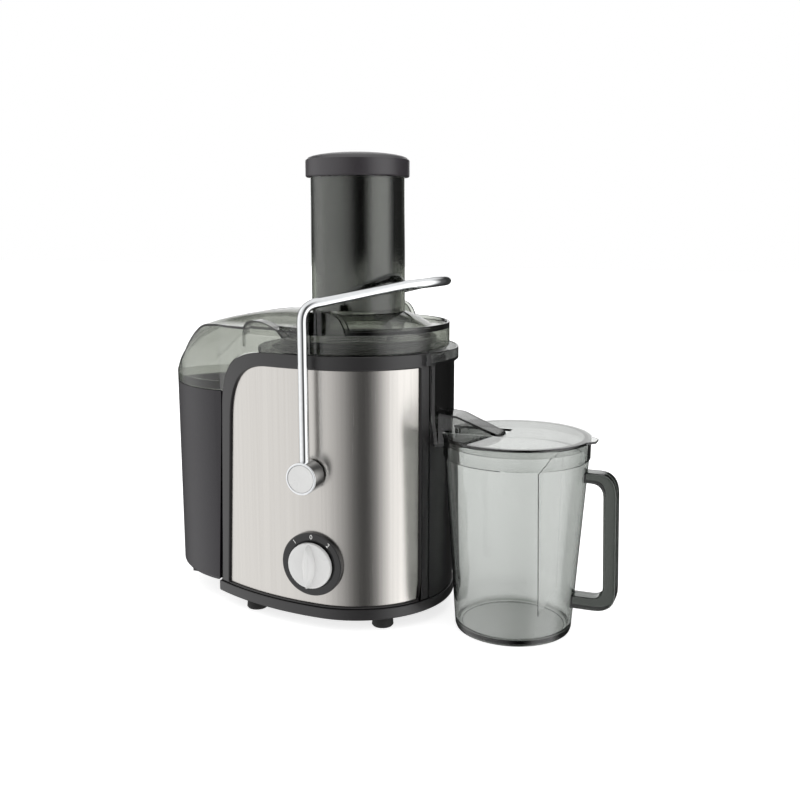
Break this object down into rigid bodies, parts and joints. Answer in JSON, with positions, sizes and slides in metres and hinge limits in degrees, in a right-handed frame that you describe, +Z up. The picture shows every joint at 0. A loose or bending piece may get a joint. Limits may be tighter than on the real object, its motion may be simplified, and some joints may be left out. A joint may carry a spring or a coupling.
{
  "type": "centrifugal juicer",
  "caption": "Upright centrifugal juicer with a steel front, feed chute and pusher, swing-over locking bail, side pulp container and a spout over a lidded jug.",
  "frame": {"origin": "middle of the bounding box's bottom face, on the surface the juicer and its jug stand on", "axes": "+Z up; +X from the pulp container towards the juice jug; -Y is the front with the dial. The motor axis is vertical at x = -0.026, y = 0"},
  "size_m": [0.429, 0.21, 0.4078],
  "materials": {
    "black_plastic": "satin moulded",
    "container_plastic": "satin moulded",
    "brushed_steel": "brushed upright",
    "chrome": "bright plated",
    "silver_plastic": "satin silver",
    "smoke_plastic": "clear smoke tint",
    "rubber": "matt",
    "bright_steel": "ground",
    "lamination": "stacked sheet",
    "copper": "enamelled",
    "board": "lacquered",
    "inner_plastic": "moulded"
  },
  "bodies": {
    "motor_unit": {"motor_housing": "black_plastic", "front_trim": "black_plastic", "front_panel": "brushed_steel", "base_cover": "black_plastic", "cord_gland": "rubber", "motor_stator": "lamination", "field_coil_front": "copper", "field_coil_rear": "copper", "motor_top_bracket": "bright_steel", "motor_bottom_bracket": "bright_steel", "motor_mount_front": "rubber", "motor_mount_rear": "rubber", "brush_holder_left": "copper", "brush_holder_right": "copper", "upper_bearing": "bright_steel", "lower_bearing": "bright_steel", "shaft_seal": "rubber", "dial_ring": "black_plastic", "speed_switch": "inner_plastic", "control_board": "board", "interlock_switch": "inner_plastic", "pivot_bush_front": "inner_plastic", "pivot_bush_rear": "inner_plastic", "foot_front_left": "rubber", "foot_front_right": "rubber", "foot_rear_left": "rubber", "foot_rear_right": "rubber", "foot_screw_front_left": "bright_steel", "foot_screw_front_right": "bright_steel", "foot_screw_rear_left": "bright_steel", "foot_screw_rear_right": "bright_steel", "collector_bowl": "container_plastic", "lid": "smoke_plastic"},
    "rotor": {"motor_shaft": "bright_steel", "armature_core": "lamination", "commutator": "copper", "cooling_fan": "inner_plastic", "drive_coupling": "inner_plastic", "basket_hub": "container_plastic", "grater_disc": "bright_steel", "filter_mesh": "bright_steel", "basket_rim": "container_plastic"},
    "speed_control": {"speed_knob": "silver_plastic", "knob_spindle": "bright_steel"},
    "bail": {"bail_rod": "chrome", "pivot_knob_front": "silver_plastic", "pivot_knob_rear": "silver_plastic", "pivot_pin_front": "bright_steel", "pivot_pin_rear": "bright_steel", "interlock_cam": "inner_plastic"},
    "pusher": {"pusher_body": "container_plastic", "pusher_cap": "black_plastic"},
    "pulp_bin": {"pulp_container": "container_plastic"},
    "jug": {"juice_jug": "smoke_plastic", "froth_separator": "smoke_plastic"},
    "jug_cover": {"jug_lid": "smoke_plastic"}
  },
  "joints": [
    {"name": "rotor_spin", "type": "hinge", "parent": "motor_unit", "child": "rotor", "pos_m": [-0.026, 0, 0.1], "axis": [0, 0, 1], "continuous": true},
    {"name": "speed_knob_turn", "type": "hinge", "parent": "motor_unit", "child": "speed_control", "pos_m": [-0.0335, -0.09, 0.059], "axis": [0, 1, 0], "range_deg": [-45, 45]},
    {"name": "bail_swing", "type": "hinge", "parent": "motor_unit", "child": "bail", "pos_m": [-0.0335, 0, 0.1385], "axis": [0, 1, 0], "range_deg": [0, 45]},
    {"name": "pusher_slide", "type": "slide", "parent": "motor_unit", "child": "pusher", "axis": [0, 0, 1], "range_m": [0, 0.11]},
    {"name": "pulp_container_slide", "type": "slide", "parent": "motor_unit", "child": "pulp_bin", "axis": [-1, 0, 0], "range_m": [0, 0.15]},
    {"name": "jug_slide", "type": "slide", "parent": "motor_unit", "child": "jug", "axis": [1, 0, 0], "range_m": [0, 0.1]},
    {"name": "jug_lid_lift", "type": "slide", "parent": "jug", "child": "jug_cover", "axis": [0, 0, 1], "range_m": [0, 0.05]}
  ]
}
